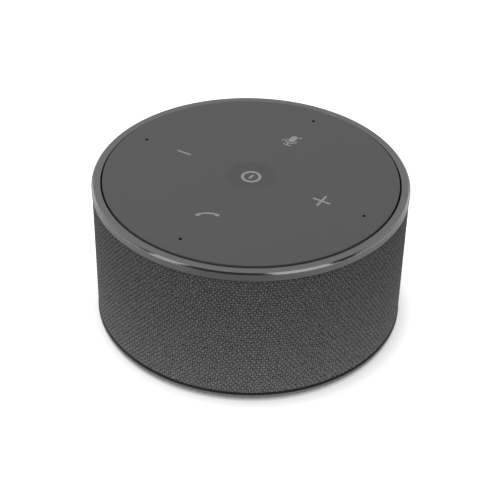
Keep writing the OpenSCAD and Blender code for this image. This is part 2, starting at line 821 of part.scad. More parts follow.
// The moving system: former, winding, cone and dust cap
former_in = pole_d / 2 + coil_gap;
former_r = former_in + former_t;
former_top = spider_z + 2.2;
// At full excursion the former still clears the yoke by this much
yoke_clear = 1.2;
module coil_former() {
    color([0.7, 0.6, 0.35])
        ring(former_in, former_r, plate_top - plate_t - magnet_t + cone_stroke + yoke_clear, former_top);
}

module coil_winding() {
    middle = plate_top - plate_t / 2;
    color(copper) ring(former_r, former_r + winding_t, middle - winding_h / 2, middle + winding_h / 2);
}

// Paper cone with a neck on the former and a land for the dust cap
cap_r = former_r + 2;
cone_neck_z0 = spider_z + 1.4;
cap_z = former_top + 0.6;
cone_edge_z = flange_top;
module cone() {
    neck_r = former_r + glue_gap;
    steps = 8;
    depth = cone_edge_z - cap_z;
    rise = [for (k = [0 : steps]) let (t = k / steps)
        [cap_r + (cone_r - cap_r) * t, cap_z + depth * (0.7 * t + 0.3 * t ^ 2)]];
    under = [for (k = [steps : -1 : 0]) rise[k] - [0, paper_t]];
    color([0.14, 0.14, 0.15]) rotate_extrude() polygon(concat(
        [[neck_r, cone_neck_z0], [neck_r, cap_z]], rise, under,
        [[neck_r + paper_t, cap_z - paper_t], [neck_r + paper_t, cone_neck_z0]]));
}

// Domed cap over the coil
module dust_cap() {
    rise = 3;
    dome_r = (cap_r ^ 2 + rise ^ 2) / (2 * rise);
    color([0.1, 0.1, 0.11]) intersection() {
        translate([0, 0, cap_z + rise - dome_r]) difference() {
            sphere(dome_r);
            sphere(dome_r - paper_t);
        }
        bore(cap_r, cap_z, cap_z + rise + past);
    }
}

// Half-roll rubber surround between the cone and the basket
module surround() {
    land_out = driver_screw_c - small_head_r - glue_gap;
    roll_c = (roll_in + roll_end) / 2;
    roll_r = surround_w / 2;
    color(dark_rubber) rotate_extrude() {
        intersection() {
            translate([roll_c, flange_top]) difference() {
                circle(roll_r);
                circle(roll_r - paper_t);
            }
            translate([roll_in, flange_top]) square([roll_end - roll_in, roll_r + past]);
        }
        translate([roll_end - paper_t, flange_top]) square([land_out - roll_end + paper_t, paper_t]);
    }
}

// Corrugated spider that centres the coil
module spider() {
    inner_r = former_r + glue_gap;
    outer_r = ledge_out - glue_gap;
    waves = 3;
    wave_h = 0.6;
    steps = 8 * waves;
    land_in = ledge_in + 0.3;
    wave_in = inner_r + 0.8;
    top_z = spider_z + glue_gap + paper_t;
    ripple = [for (k = [0 : steps]) let (t = k / steps)
        [wave_in + (land_in - wave_in) * t, top_z + wave_h * (1 - cos(360 * waves * t)) / 2]];
    top = concat([[inner_r, top_z]], ripple, [[outer_r, top_z]]);
    under = [for (k = [len(top) - 1 : -1 : 0]) top[k] - [0, paper_t]];
    color([0.62, 0.5, 0.28]) rotate_extrude() polygon(concat(top, under));
}

// Electronics in the base

board_r = pillar_c - pillar_r - 2;
board_z0 = floor_top + post_h;
board_top = board_z0 + board_t;
board_front_y = 3;
tongue_w = 14;
tongue_y = sqrt((drum_in - glue_gap - bezel_flange_t) ^ 2 - (tongue_w / 2) ^ 2) - drop_in;
post_r = small_pilot_r + 1.4;
post_y = board_r - 5.5;
board_posts = [[26, 9, 0], [-26, 9, 0], [13.5, post_y, 0], [-13.5, post_y, 0]];
socket_c = board_r - 5.5;
module main_board() {
    color(board_green) difference() {
        union() {
            intersection() {
                bore(board_r, board_z0, board_top);
                translate([-far / 2, board_front_y, 0]) cube([far, far, far]);
            }
            translate([-tongue_w / 2, post_y, board_z0]) cube([tongue_w, tongue_y - post_y, board_t]);
        }
        for (p = board_posts) translate(p) bore(small_hole_r, board_z0 - past, board_top + past);
    }
}

module board_screws() {
    color(bare_steel) for (p = board_posts) translate([p[0], p[1], board_top])
        screw(small_pilot_r - glue_gap, board_t + post_h, small_head_r, small_head_h);
}

// Tinned can over the radio and the processor
module shield_can() {
    can_w = 20;
    can_l = 15;
    can_h = 2.4;
    can_y = 17;
    color(bare_steel) translate([0, can_y, board_top]) rounded_plate(can_w, can_l, can_h, 1);
}

// Amplifier, charger and memory chips, and the amplifier's two coils
module board_chips() {
    chip_h = 0.9;
    coil_h = 2.4;
    amplifier_w = 6;
    amplifier_x = 19;
    memory_w = 4;
    memory_x = 9;
    memory_y = 31;
    coil_w = 4;
    coil_x = 28;
    row_y = 17.5;
    color([0.1, 0.1, 0.11]) for (side = [-1, 1]) {
        board_block([side * amplifier_x, row_y], amplifier_w, chip_h);
        board_block([side * memory_x, memory_y], memory_w, chip_h);
        board_block([side * coil_x, row_y], coil_w, coil_h);
    }
}

// A square component on the main board
module board_block(place, w, h) {
    translate([place[0], place[1], board_top]) rounded_plate(w, w, h, 0.3);
}

// Sockets for the ribbon, the speaker lead and the battery lead
socket_l = 5;
socket_h = 2.4;
battery_lead_x = 16;
battery_socket_w = 6;
battery_socket_y = board_front_y + 4.5;
module board_sockets() {
    color([0.85, 0.84, 0.78]) {
        for (a = [ribbon_angle, lead_angle]) rotate(a) translate([socket_c, 0, board_top])
            rounded_plate(socket_l, ribbon_w + 1, socket_h, 0.3);
        translate([battery_lead_x, battery_socket_y, board_top])
            rounded_plate(battery_socket_w, socket_l, socket_h, 0.3);
    }
}

// USB-C receptacle, on the board's tongue
port_z = board_top + usb_h / 2;
usb_mouth_y = cloth_r - 0.75;
usb_l = 7.8;
usb_back_t = 0.5;
module usb_shell() {
    back_y = usb_mouth_y - usb_l;
    color(bare_steel) translate([0, 0, port_z]) difference() {
        stadium_bar(usb_w, usb_h, back_y, usb_mouth_y);
        stadium_bar(usb_w - 2 * usb_wall, usb_h - 2 * usb_wall, back_y + usb_back_t, usb_mouth_y + past);
    }
}

module usb_tongue() {
    blade_w = 6.69;
    blade_t = 0.7;
    blade_l = 6;
    root_y = usb_mouth_y - usb_l + usb_back_t;
    color([0.08, 0.08, 0.08]) translate([-blade_w / 2, root_y, port_z - blade_t / 2])
        cube([blade_w, blade_l, blade_t]);
}

// Collar round the port, flush with the cloth, held by a flange inside the drum
mouth_w = usb_w + 2 * mouth_margin;
mouth_h = usb_h + 2 * mouth_margin;
bezel_w = mouth_w + 2 * bezel_face;
bezel_h = mouth_h + 2 * bezel_face;
module port_bezel() {
    flange_over = 0.7;
    bezel_proud = 0.15;
    inner = drum_in - glue_gap - bezel_flange_t;
    color(black_plastic) difference() {
        union() {
            intersection() {
                translate([0, 0, port_z]) stadium_bar(bezel_w, bezel_h, 0, ring_r);
                bore(cloth_r + bezel_proud, 0, body_h);
            }
            intersection() {
                translate([0, 0, port_z])
                    stadium_bar(bezel_w + 2 * flange_over, bezel_h + 2 * flange_over, 0, ring_r);
                bore(drum_in - glue_gap, 0, body_h);
            }
        }
        bore(inner, 0, body_h);
        translate([0, 0, port_z]) stadium_bar(mouth_w, mouth_h, 0, ring_r + past);
    }
}

// Battery: a flat pouch on a foam pad, between two ribs of the base cover
battery_gap = 5;
battery_y = board_front_y - battery_gap - battery_w / 2;
rib_t = 1.2;
rib_l = 12;
rib_h = 3.6;
battery_pad_t = 0.4;
battery_pad_margin = 3;
battery_z0 = floor_top + battery_pad_t;
fold_t = 1.2;
module battery_cell() {
    color([0.55, 0.56, 0.58]) translate([0, battery_y, battery_z0]) {
        rounded_plate(battery_l, battery_w, battery_t, 2);
        translate([0, battery_w / 2 + fold_t / 2 - glue_gap, battery_t * 0.25])
            rounded_plate(battery_l * 0.7, fold_t, battery_t * 0.5, 0.3);
    }
}

module battery_pad() {
    pad_l = battery_l - 2 * battery_pad_margin;
    pad_w = battery_w - 2 * battery_pad_margin;
    color([0.14, 0.14, 0.15]) translate([0, battery_y, floor_top])
        rounded_plate(pad_l, pad_w, battery_pad_t, 1.5);
}

// Wires and ribbon: each lies in one upright plane, as [distance, height]

// Flat ribbon from under the key board, through the top frame, down beside the chamber to the main board
module ribbon_cable() {
    turn = ribbon_t / 2;
    tail_l = 6;
    bend = 2;
    start = key_board_z0 - turn - glue_gap;
    end = board_top + socket_h / 2;
    middle = [
        [key_board_r - tail_l, start], [ribbon_c, start], [ribbon_c, end + bend], [ribbon_c - bend, end],
        [socket_c + socket_l / 2, end]
    ];
    side = concat(
        [for (p = middle) p + strip_offset(p, middle, turn)],
        [for (k = [len(middle) - 1 : -1 : 0]) middle[k] - strip_offset(middle[k], middle, turn)]);
    color([0.85, 0.83, 0.76]) rotate(ribbon_angle) rotate([90, 0, 0])
        translate([0, 0, -ribbon_w / 2]) linear_extrude(ribbon_w) polygon(side);
}

// Half the strip's thickness, square to the path at one of its points, longer at a mitred turn
function strip_offset(p, path, half) =
    let (i = search([p], path)[0], last = len(path) - 1,
         a = i > 0 ? (p - path[i - 1]) / norm(p - path[i - 1]) : (path[1] - p) / norm(path[1] - p),
         b = i < last ? (path[i + 1] - p) / norm(path[i + 1] - p) : a,
         m = (a + b) / norm(a + b))
    half / (m * a) * [-m[1], m[0]];

// Speaker lead, from the driver's tags through the grommet and down to the main board
module speaker_lead() {
    start_r = ledge_out + terminal_out + basket_t;
    start_z = spider_z - basket_t - 0.9;
    outside = chamber_r + 2.4;
    end_z = board_top + socket_h / 2;
    color([0.6, 0.1, 0.08]) rotate(lead_angle) wire([
        [start_r, start_z], [start_r + 5, start_z], [chamber_in - 5, grommet_z], [outside, grommet_z],
        [outside, end_z], [socket_c + socket_l / 2, end_z]
    ], lead_r, 2);
}

// Battery lead, from the cell's folded end to its socket
module battery_lead() {
    fold_end = battery_y + battery_w / 2 + fold_t - glue_gap;
    start_z = battery_z0 + battery_t / 2;
    end_z = board_top + socket_h / 2;
    socket_y = battery_socket_y - socket_l / 2;
    color([0.6, 0.1, 0.08]) translate([battery_lead_x, 0, 0]) rotate(90) wire([
        [fold_end, start_z], [fold_end + 1.8, start_z], [socket_y - 1.8, end_z], [socket_y, end_z]
    ], lead_r, 1.5);
}

touch_skin();
panel_carrier();
trim_ring();
cloth_sleeve();
slotted_drum();
base_cover();
foot_ring();
translate(power_at) key_plunger();  // power_key
translate(volume_up_at) key_plunger();  // volume_up_key
translate(mute_at) key_plunger();  // mute_key
translate(volume_down_at) key_plunger();  // volume_down_key
translate(call_at) key_plunger();  // call_key
translate(power_at) switch_stem();  // power_stem
translate(volume_up_at) switch_stem();  // volume_up_stem
translate(mute_at) switch_stem();  // mute_stem
translate(volume_down_at) switch_stem();  // volume_down_stem
translate(call_at) switch_stem();  // call_stem
tact_switches();
microphones();
mic_seals();
key_board();
key_board_screws();
top_frame();
top_frame_screws();
chamber_tub();
chamber_seal();
baffle();
baffle_screws();
chamber_screws();
lead_grommet();
driver_gasket();
driver_basket();
driver_screws();
front_plate();
magnet();
yoke();
terminal_block();
coil_former();
coil_winding();
cone();
dust_cap();
surround();
spider();
main_board();
board_screws();
shield_can();
board_chips();
board_sockets();
usb_shell();
usb_tongue();
port_bezel();
battery_cell();
battery_pad();
ribbon_cable();
speaker_lead();
battery_lead();
base_screws();
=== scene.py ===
import math

import bmesh
import bpy
from mathutils import Matrix, Quaternion, Vector


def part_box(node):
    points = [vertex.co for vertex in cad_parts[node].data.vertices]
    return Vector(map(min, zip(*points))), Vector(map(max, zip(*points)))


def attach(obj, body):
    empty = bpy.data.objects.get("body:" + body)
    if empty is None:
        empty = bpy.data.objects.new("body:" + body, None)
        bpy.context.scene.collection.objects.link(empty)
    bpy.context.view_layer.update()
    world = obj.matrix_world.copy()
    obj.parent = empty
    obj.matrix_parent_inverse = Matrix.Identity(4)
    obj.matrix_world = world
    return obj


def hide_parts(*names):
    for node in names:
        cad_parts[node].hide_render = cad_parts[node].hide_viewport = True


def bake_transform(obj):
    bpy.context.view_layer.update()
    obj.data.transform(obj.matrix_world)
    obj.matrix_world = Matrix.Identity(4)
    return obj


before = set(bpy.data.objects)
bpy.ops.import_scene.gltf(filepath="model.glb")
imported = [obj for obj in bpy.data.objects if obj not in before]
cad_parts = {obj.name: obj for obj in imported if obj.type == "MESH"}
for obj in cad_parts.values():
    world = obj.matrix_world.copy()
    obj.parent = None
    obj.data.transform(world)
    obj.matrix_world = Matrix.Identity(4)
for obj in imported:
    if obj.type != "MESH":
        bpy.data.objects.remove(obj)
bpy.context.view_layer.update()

# Camera: it stands in front of the object, to the right of the call key, and looks down on the panel.
# Its place and its lens are fitted to the outline of the object in the photograph.
mm = 0.001
image_px = 500
focal_px = 1359.3
sensor_w = 36
view_azimuth = math.radians(30.71)
view_elevation = math.radians(36.47)
view_roll = math.radians(1.3)
view_distance = 461.9 * mm
view_target = Vector((0.14, 0.08, 21.5)) * mm
camera_lens = bpy.data.cameras.new("camera")
camera_lens.sensor_width = sensor_w
camera_lens.lens = focal_px / image_px * sensor_w
camera_lens.clip_start = 10 * mm
camera = bpy.data.objects.new("camera", camera_lens)
bpy.context.scene.collection.objects.link(camera)
towards_camera = Vector((
    math.sin(view_azimuth) * math.cos(view_elevation),
    -math.cos(view_azimuth) * math.cos(view_elevation),
    math.sin(view_elevation),
))
camera.location = view_target + view_distance * towards_camera
camera_turn = (-towards_camera).to_track_quat("-Z", "Y") @ Quaternion((0, 0, 1), view_roll)
camera.rotation_euler = camera_turn.to_euler()
bpy.context.scene.camera = camera
bpy.context.scene.view_settings.view_transform = "Standard"


# Base cover: the moulded floor of the case, with the satin lip that shows under the cloth.
# It is injection moulded in grey plastic and held by four screws from below.
def grey(level, tint=(1, 1, 1)):
    """A grey as the screen shows it, 0 to 255, as a linear colour."""
    share = level / 255
    linear = ((share + 0.055) / 1.055) ** 2.4
    return (linear * tint[0], linear * tint[1], linear * tint[2], 1)


def make_surface_grain():
    """Node group: fine moulded grain as a height, and broad soft patches as a mask."""
    group = bpy.data.node_groups.new("surface_grain", "ShaderNodeTree")
    for name in ("Grains per metre", "Patches per metre"):
        group.interface.new_socket(name, in_out="INPUT", socket_type="NodeSocketFloat")
    for name in ("Height", "Patches"):
        group.interface.new_socket(name, in_out="OUTPUT", socket_type="NodeSocketFloat")
    given = group.nodes.new("NodeGroupInput")
    made = group.nodes.new("NodeGroupOutput")
    place = group.nodes.new("ShaderNodeTexCoord")
    grain = group.nodes.new("ShaderNodeTexNoise")
    grain.inputs["Detail"].default_value = 2
    patches = group.nodes.new("ShaderNodeTexNoise")
    patches.inputs["Detail"].default_value = 4
    patches.inputs["Roughness"].default_value = 0.6
    group.links.new(place.outputs["Object"], grain.inputs["Vector"])
    group.links.new(place.outputs["Object"], patches.inputs["Vector"])
    group.links.new(given.outputs["Grains per metre"], grain.inputs["Scale"])
    group.links.new(given.outputs["Patches per metre"], patches.inputs["Scale"])
    group.links.new(grain.outputs["Fac"], made.inputs["Height"])
    group.links.new(patches.outputs["Fac"], made.inputs["Patches"])
    return group


surface_grain = make_surface_grain()


def blank_material(name):
    """A new material with its nodes, its links and its shader."""
    material = bpy.data.materials.new(name)
    material.use_nodes = True
    shader = material.node_tree.nodes["Principled BSDF"]
    return material, material.node_tree.nodes, material.node_tree.links, shader


def mix_colours(nodes, links, mask, low, high):
    """A colour that goes from low to high with a mask. Each is a plain colour or the output of a node."""
    mix = nodes.new("ShaderNodeMix")
    mix.data_type = "RGBA"
    links.new(mask, mix.inputs["Factor"])
    for end, colour in (("A", low), ("B", high)):
        if isinstance(colour, tuple):
            mix.inputs[end].default_value = colour
        else:
            links.new(colour, mix.inputs[end])
    return mix.outputs["Result"]


def spread_values(nodes, links, mask, low, high):
    """A value that goes from low to high with a mask."""
    spread = nodes.new("ShaderNodeMapRange")
    spread.inputs["To Min"].default_value = low
    spread.inputs["To Max"].default_value = high
    links.new(mask, spread.inputs["Value"])
    return spread.outputs["Result"]


def dent(nodes, links, shader, height, depth):
    """A bump of that depth on the shader's normal."""
    bump = nodes.new("ShaderNodeBump")
    bump.inputs["Strength"].default_value = 1
    bump.inputs["Distance"].default_value = depth
    links.new(height, bump.inputs["Height"])
    links.new(bump.outputs["Normal"], shader.inputs["Normal"])


def place_grain(nodes, grain_size, patch_size):
    """The surface grain, placed in a material with its own sizes."""
    grain = nodes.new("ShaderNodeGroup")
    grain.node_tree = surface_grain
    grain.inputs["Grains per metre"].default_value = 1 / grain_size
    grain.inputs["Patches per metre"].default_value = 1 / patch_size
    return grain


def grained(name, dark, light, rough, grain_size, grain_depth, patch_size=6 * mm, metallic=0.0, gloss=0.5):
    """A material with moulded grain, soft patches between two tones and uneven roughness."""
    material, nodes, links, shader = blank_material(name)
    grain = place_grain(nodes, grain_size, patch_size)
    links.new(mix_colours(nodes, links, grain.outputs["Patches"], dark, light), shader.inputs["Base Color"])
    links.new(spread_values(nodes, links, grain.outputs["Patches"], *rough), shader.inputs["Roughness"])
    shader.inputs["Metallic"].default_value = metallic
    shader.inputs["Specular IOR Level"].default_value = gloss
    dent(nodes, links, shader, grain.outputs["Height"], grain_depth)
    return material


def dress(material, *names):
    """Gives CAD nodes a finish."""
    for name in names:
        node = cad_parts[name]
        if not node.material_slots:
            node.data.materials.append(None)
        for place in node.material_slots:
            place.material = material


grey_moulding = grained(
    "grey_moulding", grey(76), grey(81), rough=(0.4, 0.5), grain_size=0.3 * mm, grain_depth=0.004 * mm)
dress(grey_moulding, "base_cover")

# Foot: a flat ring of soft rubber, let into the underside, where it hides the base screws.
# Foam pads, gaskets, seals and the grommet share its dull black.
black_rubber = grained(
    "black_rubber", grey(20), grey(28), rough=(0.75, 0.9), grain_size=0.4 * mm, grain_depth=0.01 * mm,
    gloss=0.3)
dress(black_rubber, "foot_ring", "mic_seals", "lead_grommet", "driver_gasket", "chamber_seal", "battery_pad")

# Screws, the receptacle's shell, the shield can and the driver's plate and yoke: zinc-plated steel.
# The driver's basket is pressed from sheet steel and painted black. Steel has a fine grain and uneven shine.
bare_steel = grained(
    "bare_steel", grey(150), grey(172), rough=(0.25, 0.42), grain_size=0.15 * mm, grain_depth=0.002 * mm,
    patch_size=2 * mm, metallic=1.0)
dress(
    bare_steel,
    "base_screws", "board_screws", "chamber_screws", "baffle_screws", "driver_screws", "top_frame_screws",
    "key_board_screws", "usb_shell", "shield_can", "front_plate", "yoke",
)
painted_steel = grained(
    "painted_steel", grey(44), grey(54), rough=(0.45, 0.6), grain_size=0.25 * mm, grain_depth=0.006 * mm)
dress(painted_steel, "driver_basket")

# Battery cell: a flat pouch of laminated foil with one end folded up, laid on its foam pad.
# The foil is a little wrinkled, so its grain is coarse.
cell_foil = grained(
    "cell_foil", grey(140), grey(165), rough=(0.3, 0.45), grain_size=3 * mm, grain_depth=0.08 * mm,
    patch_size=8 * mm, metallic=0.9)
dress(cell_foil, "battery_cell")


# Circuit boards: glass laminate under green solder mask, with the tracks showing through it.
# The tracks run along the board in lanes, and cross lanes join them.
def make_board_finish():
    """Green solder mask in two close tones, paler and a little higher over the tracks."""
    lane_pitch = 4 * mm
    track_share = 0.06
    track_t = 0.02 * mm
    material, nodes, links, shader = blank_material("circuit_board")
    place = nodes.new("ShaderNodeTexCoord")
    lanes = nodes.new("ShaderNodeTexBrick")
    lanes.inputs["Scale"].default_value = 1 / lane_pitch
    lanes.inputs["Mortar Size"].default_value = track_share
    lanes.inputs["Color1"].default_value = (0.004, 0.05, 0.02, 1)
    lanes.inputs["Color2"].default_value = (0.006, 0.06, 0.026, 1)
    lanes.inputs["Mortar"].default_value = (0.012, 0.12, 0.05, 1)
    links.new(place.outputs["Object"], lanes.inputs["Vector"])
    links.new(lanes.outputs["Color"], shader.inputs["Base Color"])
    shader.inputs["Roughness"].default_value = 0.35
    dent(nodes, links, shader, lanes.outputs["Fac"], track_t)
    return material


dress(make_board_finish(), "main_board", "key_board")

# Connectors, the terminal block, the ribbon and the switch stems: pale uncoloured plastic.
# The ribbon is a flat film. The others are small mouldings.
pale_plastic = grained(
    "pale_plastic", grey(196, (1, 0.97, 0.88)), grey(208, (1, 0.98, 0.9)), rough=(0.4, 0.5),
    grain_size=0.3 * mm, grain_depth=0.004 * mm)
dress(
    pale_plastic,
    "board_sockets", "ribbon_cable", "terminal_block",
    "power_stem", "volume_up_stem", "mute_stem", "volume_down_stem", "call_stem",
)

# Wires: pairs of stranded copper in red rubber insulation, pushed into the sockets on the main board.
# One comes from the driver through the grommet, and the other from the battery.
red_insulation = grained(
    "red_insulation", grey(150, (1, 0.1, 0.08)), grey(170, (1, 0.12, 0.1)), rough=(0.4, 0.5),
    grain_size=0.5 * mm, grain_depth=0.01 * mm)
dress(red_insulation, "speaker_lead", "battery_lead")

# Black mouldings: drum, chamber, baffle, frame, carrier, keys, switches and chips, and the port's tongue
# and collar. All are injection moulded in black plastic with a fine spark-eroded texture.
black_moulding = grained(
    "black_moulding", grey(26), grey(33), rough=(0.5, 0.62), grain_size=0.25 * mm, grain_depth=0.01 * mm)
dress(
    black_moulding,
    "slotted_drum", "chamber_tub", "baffle", "top_frame", "panel_carrier", "tact_switches", "board_chips",
    "usb_tongue", "port_bezel", "power_key", "volume_up_key", "mute_key", "volume_down_key", "call_key",
)

# Driver: a ferrite magnet, a copper coil on its former, and a cone and cap of pressed pulp.
# The cone, cap, former and coil move together.
ferrite = grained(
    "ferrite", grey(58), grey(72), rough=(0.55, 0.75), grain_size=0.3 * mm, grain_depth=0.02 * mm,
    patch_size=3 * mm, metallic=0.3)
dress(ferrite, "magnet")
copper_wire = grained(
    "copper_wire", (0.42, 0.14, 0.05, 1), (0.52, 0.19, 0.07, 1), rough=(0.25, 0.35), grain_size=0.1 * mm,
    grain_depth=0.01 * mm, patch_size=2 * mm, metallic=1.0)
dress(copper_wire, "coil_winding")
stiff_paper = grained(
    "stiff_paper", grey(40), grey(56), rough=(0.8, 0.95), grain_size=0.5 * mm, grain_depth=0.05 * mm,
    patch_size=2 * mm, gloss=0.2)
dress(stiff_paper, "cone", "dust_cap", "coil_former")


# Surround and spider: the rubber roll round the cone's edge and the corrugated cotton disc round its neck.
# Both are glued to the basket. Each is made of wedges.
def turn(bm, profile, steps, centre=(0, 0), closed=False, angle=math.tau):
    """Turns a profile of [radius, height] points about an upright axis, all the way round or by an angle."""
    verts = [bm.verts.new((centre[0] + radius, centre[1], height)) for radius, height in profile]
    edges = [bm.edges.new(pair) for pair in zip(verts, verts[1:])]
    if closed:
        edges.append(bm.edges.new((verts[-1], verts[0])))
    bmesh.ops.spin(bm, geom=verts + edges, cent=(centre[0], centre[1], 0), axis=(0, 0, 1), angle=angle,
                   steps=steps, use_merge=angle >= math.tau)


weld_reach = 0.0005 * mm


def close_up(bm):
    """Joins the seams and poles of turned shapes and points their faces outwards."""
    bmesh.ops.remove_doubles(bm, verts=bm.verts, dist=weld_reach)
    bmesh.ops.recalc_face_normals(bm, faces=bm.faces)


def finished_piece(name, bm, *materials, crease=math.radians(32)):
    """Makes an object of a mesh: smooth, with a hard edge wherever it turns by more than the crease."""
    for edge in bm.edges:
        edge.smooth = edge.calc_face_angle(0) < crease
    for face in bm.faces:
        face.smooth = True
    mesh = bpy.data.meshes.new(name)
    bm.to_mesh(mesh)
    bm.free()
    for material in materials:
        mesh.materials.append(material)
    made = bpy.data.objects.new(name, mesh)
    bpy.context.scene.collection.objects.link(made)
    return made


def arc(centre_r, centre_z, radius, start, end, count):
    """Points of [radius, height] along a round edge, from one angle to another in degrees."""
    angles = [math.radians(start + (end - start) * step / count) for step in range(count + 1)]
    return [(centre_r + radius * math.cos(angle), centre_z + radius * math.sin(angle)) for angle in angles]


ring_steps = 96
wedge_gap = math.radians(0.05)


def make_soft_ring(name, profile, wedge_count, material):
    """A ring of wedges turned from a profile, in place of the CAD part."""
    wedge_steps = ring_steps // wedge_count
    wedge_angle = math.tau / wedge_count - wedge_gap
    for number in range(wedge_count):
        middle = math.tau * number / wedge_count
        bm = bmesh.new()
        turn(bm, profile, wedge_steps, closed=True, angle=wedge_angle)
        bmesh.ops.holes_fill(bm, edges=[edge for edge in bm.edges if edge.is_boundary])
        bmesh.ops.rotate(bm, verts=bm.verts, cent=(0, 0, 0),
                         matrix=Matrix.Rotation(middle - wedge_angle / 2, 3, "Z"))
        close_up(bm)
        wedge = finished_piece(f"{name}_wedge_{number + 1}", bm, material)
        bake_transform(wedge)
        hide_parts(name)


soft_t = 0.4 * mm
surround_wedges = 24
roll_steps = 20
surround_low, surround_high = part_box("surround")
surround_z = surround_low.z
surround_land = surround_high.x
roll_in = 19.85 * mm
roll_r = surround_high.z - surround_low.z
roll_c = roll_in + roll_r
land_turn = math.degrees(math.asin(soft_t / roll_r))
surround_profile = (
    arc(roll_c, surround_z, roll_r, 180, land_turn, roll_steps)
    + [(surround_land, surround_z + soft_t), (surround_land, surround_z)]
    + arc(roll_c, surround_z, roll_r - soft_t, 0, 180, roll_steps))
make_soft_ring("surround", surround_profile, surround_wedges, black_rubber)

spider_low, spider_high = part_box("spider")
spider_top = spider_low.z + soft_t
spider_in = 7.85 * mm
spider_collar = 8.65 * mm
spider_land = 17 * mm
spider_waves = 3
spider_wedges = 16
wave_steps = 16
spider_wave_h = spider_high.z - spider_top
ripple_steps = wave_steps * spider_waves
ripple = []
for step in range(ripple_steps + 1):
    share = step / ripple_steps
    crest = (1 - math.cos(math.tau * spider_waves * share)) / 2
    ripple.append((spider_collar + (spider_land - spider_collar) * share, spider_top + spider_wave_h * crest))
spider_face = [(spider_in, spider_top)] + ripple + [(spider_high.x, spider_top)]
spider_back = [(radius, height - soft_t) for radius, height in reversed(spider_face)]
woven_cotton = grained(
    "woven_cotton", grey(130, (1, 0.8, 0.5)), grey(160, (1, 0.82, 0.55)), rough=(0.85, 0.95),
    grain_size=0.25 * mm, grain_depth=0.06 * mm, patch_size=1 * mm, gloss=0.2)
make_soft_ring("spider", spider_face + spider_back, spider_wedges, woven_cotton)

# Microphones: small gilt cans under the sound holes, soldered to the key board.
# Each is a drawn metal lid over its chip.
gilt_metal = grained(
    "gilt_metal", (0.2, 0.15, 0.06, 1), (0.26, 0.2, 0.08, 1), rough=(0.25, 0.35), grain_size=0.1 * mm,
    grain_depth=0.002 * mm, patch_size=1 * mm, metallic=1.0)
dress(gilt_metal, "microphones")


# Trim ring: turned aluminium, anodised grey, with a satin top face and wall. The wall's darker tone is
# painted shade.
# Its outer edge is cut to a polished chamfer after anodising. The panel sits on the ledge in its
# bore, which is painted black as shade.
def reach_from_axis(nodes, links):
    """The distance of each point from the upright axis of the object."""
    place = nodes.new("ShaderNodeTexCoord")
    flat = nodes.new("ShaderNodeVectorMath")
    flat.operation = "MULTIPLY"
    flat.inputs[1].default_value = (1, 1, 0)
    reach = nodes.new("ShaderNodeVectorMath")
    reach.operation = "LENGTH"
    links.new(place.outputs["Object"], flat.inputs[0])
    links.new(flat.outputs["Vector"], reach.inputs[0])
    return reach.outputs["Value"]


def make_satin_ring():
    """Anodised metal with the faint rings that turning leaves."""
    tool_feed = 0.12 * mm
    tool_mark = 0.002 * mm
    material, nodes, links, shader = blank_material("satin_ring")
    rings = nodes.new("ShaderNodeTexNoise")
    rings.noise_dimensions = "1D"
    rings.inputs["Scale"].default_value = 1 / tool_feed
    links.new(reach_from_axis(nodes, links), rings.inputs["W"])
    tone = mix_colours(nodes, links, rings.outputs["Fac"], grey(89), grey(97))
    links.new(tone, shader.inputs["Base Color"])
    links.new(spread_values(nodes, links, rings.outputs["Fac"], 0.36, 0.44), shader.inputs["Roughness"])
    shader.inputs["Metallic"].default_value = 1
    dent(nodes, links, shader, rings.outputs["Fac"], tool_mark)
    return material


ring_low, ring_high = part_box("trim_ring")
ring_r = ring_high.x
ring_top = ring_high.z
ring_face_w = 2.9 * mm
ring_wall_h = 2.8 * mm
ring_chamfer = 0.55 * mm
ring_soft_edge = 0.05 * mm
ring_support = 0.1 * mm
ring_ledge_w = 2.2 * mm
ring_ledge_t = 1.2 * mm
ring_shoulder_w = 0.95 * mm
ring_skirt_t = 1.1 * mm
skirt_step = 0.05 * mm
carrier_t = 1.6 * mm
fine_steps = 288
ring_bore_r = ring_r - ring_face_w
ring_wall_z0 = ring_top - ring_wall_h
ledge_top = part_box("panel_carrier")[1].z - carrier_t
ledge_z0 = ledge_top - ring_ledge_t
skirt_out = ring_bore_r + skirt_step
shoulder_r = ring_bore_r + ring_shoulder_w
bm = bmesh.new()
turn(bm, [
    (ring_r, ring_wall_z0),
    (ring_r, ring_top - ring_chamfer - ring_support),
    (ring_r, ring_top - ring_chamfer),
    (ring_r - ring_chamfer, ring_top),
    (ring_r - ring_chamfer - ring_support, ring_top),
    (ring_bore_r + ring_support, ring_top),
    (ring_bore_r, ring_top),
    (ring_bore_r, ring_top - ring_support),
    (ring_bore_r, ledge_top),
    (ring_bore_r - ring_ledge_w, ledge_top),
    (ring_bore_r - ring_ledge_w, ledge_z0),
    (skirt_out - ring_skirt_t, ledge_z0),
    (skirt_out - ring_skirt_t, ring_low.z),
    (skirt_out, ring_low.z),
    (skirt_out, ledge_z0),
    (shoulder_r, ledge_z0),
    (shoulder_r, ring_wall_z0),
], fine_steps, closed=True)
close_up(bm)
near = 0.002 * mm


def loop_at(bm, radius, height):
    """The edges of the circle of that radius at that height."""
    return [edge for edge in bm.edges if all(
        abs(vert.co.xy.length - radius) < near and abs(vert.co.z - height) < near for vert in edge.verts)]


